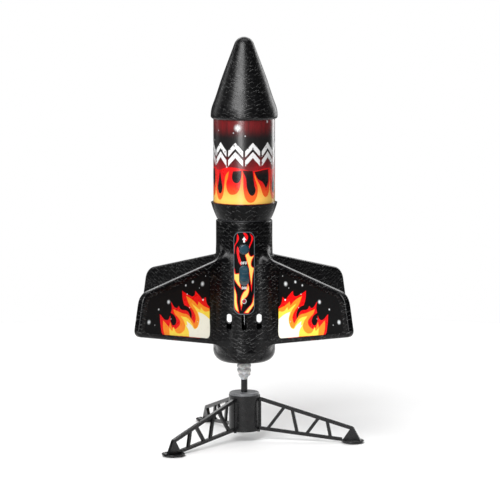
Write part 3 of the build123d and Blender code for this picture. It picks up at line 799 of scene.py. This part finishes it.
def white_floor():
    """A round sheet of white paper for the object to stand on."""
    g = Graph("white_paper", Roughness=0.8, Specular_IOR_Level=0.1)
    g.put("Base Color", g.mix(g.noise(g.place, 6.0, 3.0), srgb(240, 240, 240), srgb(247, 247, 247)))
    mesh = floor_mesh()
    mesh.materials.append(g.material)
    floor = bpy.data.objects.new("white_floor", mesh)
    bpy.context.scene.collection.objects.link(floor)


def white_air():
    """Air that is pure white to look at and lights the object only a little."""
    world = bpy.data.worlds.new("studio_air")
    world.use_nodes = True
    nodes, links = world.node_tree.nodes, world.node_tree.links
    nodes["Background"].inputs["Color"].default_value = (1.0, 1.0, 1.0, 1.0)
    level = nodes.new("ShaderNodeMapRange")
    level.inputs["To Min"].default_value, level.inputs["To Max"].default_value = AIR_GLOW, 1.0
    links.new(nodes.new("ShaderNodeLightPath").outputs["Is Camera Ray"], level.inputs["Value"])
    links.new(level.outputs[0], nodes["Background"].inputs["Strength"])
    bpy.context.scene.world = world


def studio():
    """White floor and air, with two softboxes in front, two strips and a box behind, and one overhead."""
    white_floor()
    for light in LIGHTS:
        area_light(*light)
    white_air()
    bpy.context.scene.view_settings.view_transform = "Standard"


def camera():
    """A long lens in front of the object, looking slightly down."""
    data = bpy.data.cameras.new("photo_camera")
    data.sensor_width, data.lens = CAMERA_SENSOR, CAMERA_LENS
    data.clip_start, data.clip_end = 0.05, 50.0
    holder = bpy.data.objects.new("photo_camera", data)
    holder.location = CAMERA_PLACE
    holder.rotation_euler = (radians(CAMERA_TILT), 0.0, 0.0)
    bpy.context.scene.collection.objects.link(holder)
    bpy.context.scene.camera = holder


# ---- the build ---------------------------------------------------------------
def paint(material, *nodes):
    """Gives CAD nodes a finish."""
    for node in nodes:
        piece = NODES[node]
        if not piece.material_slots:
            piece.data.materials.append(material)
        for entry in piece.material_slots:
            entry.material = material


def each(prefix, names):
    """Node names that differ only in their last word."""
    return [prefix + name for name in names]


def finishes():
    """Every CAD node that stays gets its finish."""
    black = moulded_plastic("black_stand_plastic", srgb(15, 15, 16), 0.22, gloss=0.3)
    paint(foam_material("moulded_body_foam", 28.0), "fuselage_front", "fuselage_rear")
    paint(foam_material("moulded_collar_foam", 28.0, shine=0.11), "lower_collar")
    paint(foam_material("moulded_nose_foam", 22.0, shine=0.35, rough=0.28), "nose_cone")
    paint(black, "hub_body", "launch_post", *each("leg_", LEGS), *each("foot_pad_", LEGS))
    # The hub cap is the stand's black plastic painted mid grey: a painted reflection of the bright light
    # above it, with haze.
    paint(moulded_plastic("hub_cap_plastic_painted_reflection", srgb(92, 93, 95), 0.3), "hub_cap")
    paint(fin_film_material(), *each("fin_decal_", FIN_ANGLES))
    paint(label_material(), "label_sleeve")
    paint(ink("panel_black_film", srgb(4, 4, 5), gloss=0.4, shine=0.07), "panel_decal")
    paint(moulded_plastic("panel_lip_plastic", srgb(70, 80, 86), 0.34), "control_panel")
    paint(moulded_plastic("dark_teal_plastic", srgb(26, 54, 66), 0.13), "launch_button", "switch_knob")
    paint(lens_material(), "led_lens")
    paint(metal("polished_tube", srgb(226, 228, 232), 0.16), "launch_tube")
    paint(metal("screw_steel", srgb(176, 176, 178), 0.3), "post_screw", "chassis_screws", "motor_rotor")
    paint(metal("bright_nickel", srgb(214, 213, 208), 0.2), "battery_contacts", "motor_can", "charge_port",
          "slide_switch")
    paint(moulded_plastic("grey_chassis_plastic", srgb(150, 152, 156), 0.42), "lower_chassis_plate",
          "upper_chassis_plate", "pump_head", "bottle_cap", "parachute_bay")
    paint(moulded_plastic("inner_black_plastic", srgb(44, 44, 47), 0.4), "battery_holder", "check_valve",
          "tail_nozzle", "neck_ring", "nose_socket", "port_bezel", "tact_switch")
    paint(board_material(), "circuit_board")
    paint(bottle_material(), "air_bottle")
    paint(rubber_material("red_silicone", srgb(190, 74, 58)), "pump_diaphragm")
    paint(rubber_material("clear_hose", srgb(214, 220, 220)), "air_hose")
    paint(cell_material(), "battery_cell")


def printing_inks():
    """The inks by colour; the label's fade from one colour to another between two heights."""
    return {
        "red": ink("flame_red_ink", srgb(228, 8, 14)),
        "orange": ink("flame_orange_ink", srgb(245, 138, 34)),
        "yellow": ink("flame_yellow_ink", srgb(247, 214, 74)),
        "cream": ink("flame_cream_ink", srgb(238, 236, 220)),
        "white": ink("white_ink", srgb(228, 228, 228)),
        "panel_gold": ink("panel_gold_ink", srgb(246, 200, 100)),
        "label_red": glossy_ink("label_red_ink", srgb(216, 20, 22), srgb(240, 100, 34), (232, 250)),
        "label_fire": glossy_ink("label_fire_ink", srgb(242, 116, 34), srgb(250, 200, 96), (229, 254)),
        "label_drips": glossy_ink("label_night_ink", srgb(70, 12, 16), srgb(16, 14, 14), (255, 264)),
        "distressed": distressed_ink(),
    }


def build():
    """Every finish, print and soft piece of the object."""
    finishes()
    inks = printing_inks()
    fin_prints(inks)
    label_prints(inks)
    panel_prints(inks)
    silicone_puff(silicone_material())
    parachute(cloth_material("orange_ripstop_nylon", srgb(240, 106, 36)))


build()
studio()
camera()
